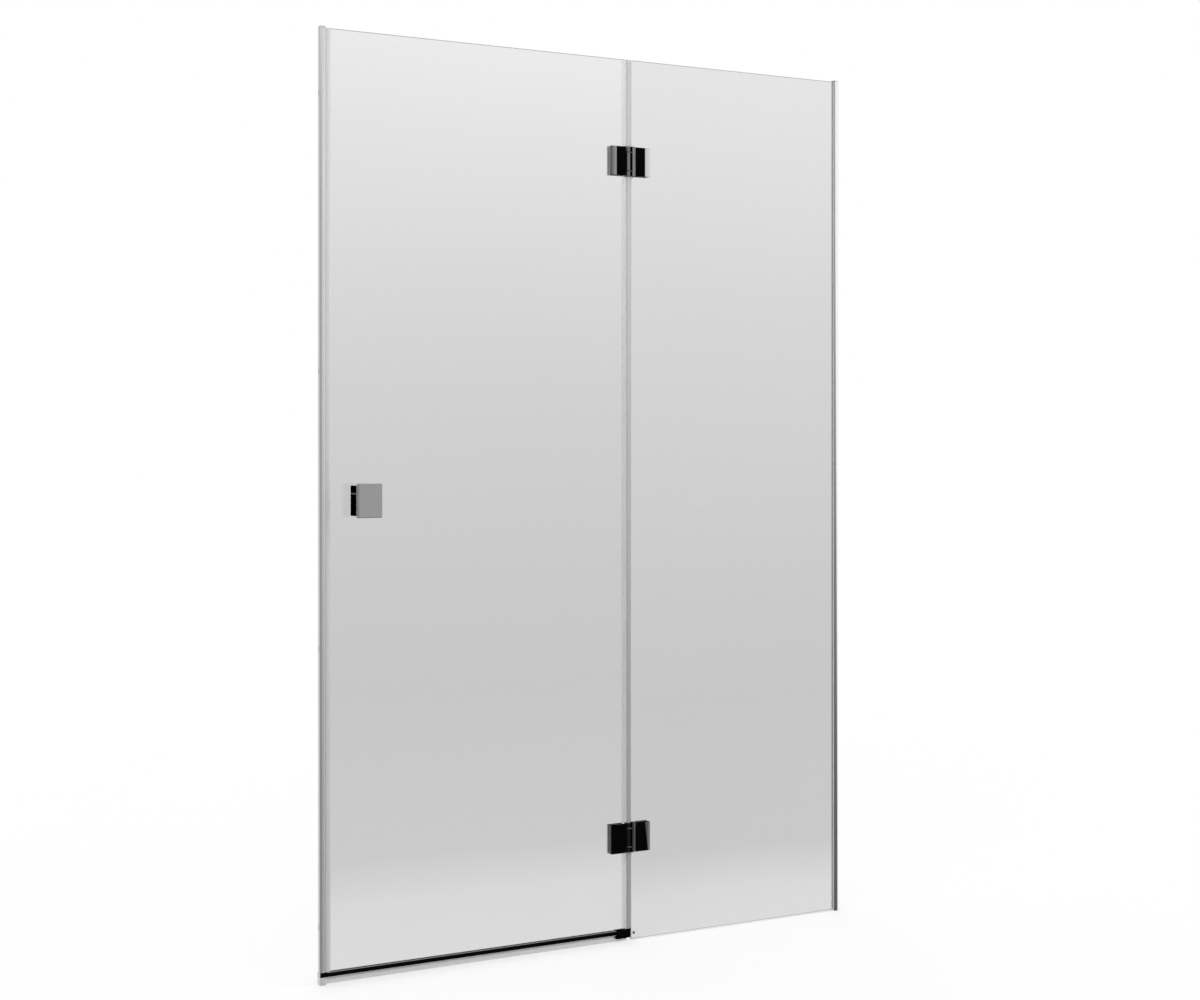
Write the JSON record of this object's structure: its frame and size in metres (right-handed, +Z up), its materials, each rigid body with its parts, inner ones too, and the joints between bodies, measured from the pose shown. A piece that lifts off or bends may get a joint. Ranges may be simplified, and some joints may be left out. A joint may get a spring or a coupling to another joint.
{
  "type": "shower door",
  "caption": "In-line frameless shower door: a clear glass door with a square knob, hung on glass-to-glass hinges from a fixed pane, between a wall channel and a wall strike.",
  "frame": {"origin": "middle of the bottom of the whole door's box; the middle of the glass lies at y = +15.5 mm, because the knob reaches further out than the hinges reach in", "axes": "+Z up; +X to the right as seen from outside, from the wall strike to the wall channel; -Y towards the outside, where the picture was taken; +Y into the shower"},
  "size_m": [1.3, 0.053, 1.95],
  "materials": {
    "glass": "clear polished, with a ground edge",
    "dark_chrome": null,
    "satin_chrome": "satin",
    "aluminium": "satin anodised",
    "steel": "plain stainless",
    "clear_vinyl": "clear, slightly hazy",
    "grey_rubber": "matt",
    "black_rubber": "matt",
    "nylon": "matt",
    "magnet": "matt, rubber-bonded magnet"
  },
  "bodies": {
    "fixed_side": {"fixed_glass": "glass", "wall_channel": "aluminium", "channel_gasket_front": "grey_rubber", "channel_gasket_back": "grey_rubber", "channel_top_cap": "aluminium", "edge_packer_lower": "black_rubber", "edge_packer_upper": "black_rubber", "foot_bead": "clear_vinyl", "corner_buffer": "black_rubber", "strike_profile": "aluminium", "strike_insert": "clear_vinyl", "strike_magnet": "magnet", "strike_top_cap": "aluminium", "strike_sill_block": "dark_chrome", "strike_foot": "clear_vinyl", "lower_hinge_fixed_body": "dark_chrome", "lower_hinge_fixed_front_plate": "dark_chrome", "lower_hinge_fixed_gasket": "black_rubber", "lower_hinge_fixed_screw_lower": "steel", "lower_hinge_fixed_screw_upper": "steel", "lower_hinge_pin": "steel", "upper_hinge_fixed_body": "dark_chrome", "upper_hinge_fixed_front_plate": "dark_chrome", "upper_hinge_fixed_gasket": "black_rubber", "upper_hinge_fixed_screw_lower": "steel", "upper_hinge_fixed_screw_upper": "steel", "upper_hinge_pin": "steel"},
    "door": {"door_glass": "glass", "closing_seal": "clear_vinyl", "closing_magnet": "magnet", "joint_seal_lower": "clear_vinyl", "joint_seal_middle": "clear_vinyl", "joint_seal_upper": "clear_vinyl", "drip_rail": "dark_chrome", "rail_gasket": "black_rubber", "rail_end_cap_closing": "dark_chrome", "rail_end_cap_hinge": "dark_chrome", "wiper_lip": "clear_vinyl", "outer_knob_plate": "satin_chrome", "outer_knob_neck": "dark_chrome", "inner_knob_plate": "satin_chrome", "inner_knob_neck": "dark_chrome", "outer_knob_washer": "black_rubber", "inner_knob_washer": "black_rubber", "knob_stud": "steel", "knob_grub_screw": "steel", "lower_hinge_door_body": "dark_chrome", "lower_hinge_door_front_plate": "dark_chrome", "lower_hinge_door_gasket": "black_rubber", "lower_hinge_door_screw_lower": "steel", "lower_hinge_door_screw_upper": "steel", "lower_hinge_bush_upper": "nylon", "lower_hinge_bush_lower": "nylon", "upper_hinge_door_body": "dark_chrome", "upper_hinge_door_front_plate": "dark_chrome", "upper_hinge_door_gasket": "black_rubber", "upper_hinge_door_screw_lower": "steel", "upper_hinge_door_screw_upper": "steel", "upper_hinge_bush_upper": "nylon", "upper_hinge_bush_lower": "nylon"}
  },
  "joints": [
    {"name": "door_swing", "type": "hinge", "parent": "fixed_side", "child": "door", "pos_m": [0.0805, 0.0155, 0.975], "axis": [0, 0, 1], "range_deg": [-90, 90]}
  ]
}
